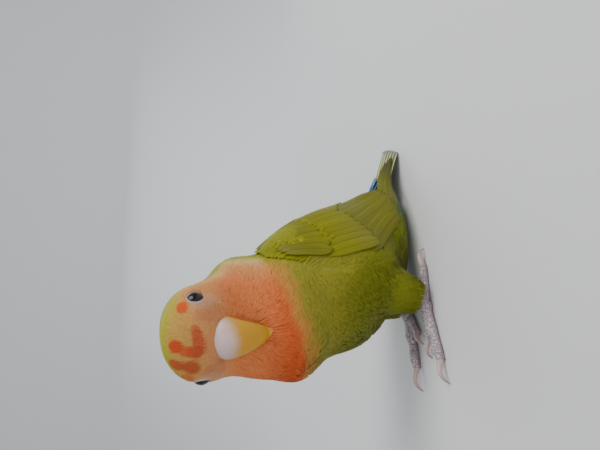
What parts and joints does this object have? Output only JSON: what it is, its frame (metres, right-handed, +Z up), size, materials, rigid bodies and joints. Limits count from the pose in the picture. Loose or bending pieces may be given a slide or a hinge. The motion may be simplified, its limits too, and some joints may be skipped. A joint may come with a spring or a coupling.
{
  "type": "peach faced lovebird",
  "caption": "Small parrot standing at rest with folded wings and short tail, head bowed and turned to its left",
  "frame": {"origin": "middle of the footprint of the whole bird, on the plane its toes and tail rest on", "axes": "+Z up; -Y is where the breast faces; +X is the bird's left side"},
  "size_m": [0.0454, 0.1032, 0.0842],
  "materials": {
    "peach": "soft short feathers, peach orange over face and bib",
    "green": "soft feathers, yellow green over breast, belly and back",
    "wing": "flat overlapping feathers, olive green",
    "tail": "flat overlapping feathers, yellow green with pale ends",
    "bill": "smooth horn, ivory at the root and yellow at the tip",
    "foot": "scaly greyish pink skin",
    "claw": "pale horn",
    "eye": "wet and nearly black"
  },
  "bodies": {
    "root": {"rump": "green", "torso": "green", "neck": "peach", "head": "peach", "bill_upper": "bill", "bill_lower": "bill", "eye_left": "eye", "eye_right": "eye", "tail": "tail", "wing_left": "wing", "leg_left": "green", "foot_left": "foot", "claw_left_front_outer": "claw", "claw_left_front_inner": "claw", "claw_left_back_outer": "claw", "claw_left_back_inner": "claw", "wing_right": "wing", "leg_right": "green", "foot_right": "foot", "claw_right_front_outer": "claw", "claw_right_front_inner": "claw", "claw_right_back_outer": "claw", "claw_right_back_inner": "claw"}
  },
  "joints": []
}
